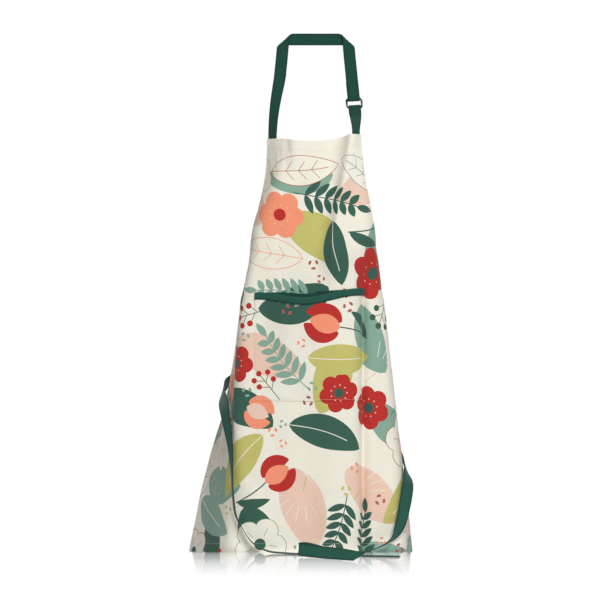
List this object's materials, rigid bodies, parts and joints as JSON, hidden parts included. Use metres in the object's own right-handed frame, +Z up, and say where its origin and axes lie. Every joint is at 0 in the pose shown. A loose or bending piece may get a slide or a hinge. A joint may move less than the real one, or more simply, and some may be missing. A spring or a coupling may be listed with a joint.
{
  "type": "kitchen apron",
  "caption": "Bib apron in printed cotton with a patch pocket, an adjustable neck strap on double D-rings and waist ties, shaped as worn.",
  "frame": {"origin": "middle of the neck strap's band behind the neck, where the apron hangs", "axes": "+Z up, +X to the right seen from the front, +Y from the panel's front towards the wearer"},
  "size_m": [0.4715, 0.4478, 1.0903],
  "materials": {
    "printed_cotton": "matt cream cotton with a botanical print in greens, lime, red and coral",
    "green_cotton": "matt dark-green woven cotton with stitched edges",
    "black_metal": "black coated wire"
  },
  "bodies": {
    "root": {"front_panel": "printed_cotton", "pocket": "printed_cotton", "pocket_binding": "green_cotton", "pocket_facing": "green_cotton", "neck_strap": "green_cotton", "ring_tab": "green_cotton", "d_ring_front": "black_metal", "d_ring_back": "black_metal", "tie_left": "green_cotton", "tie_right": "green_cotton"}
  },
  "joints": []
}
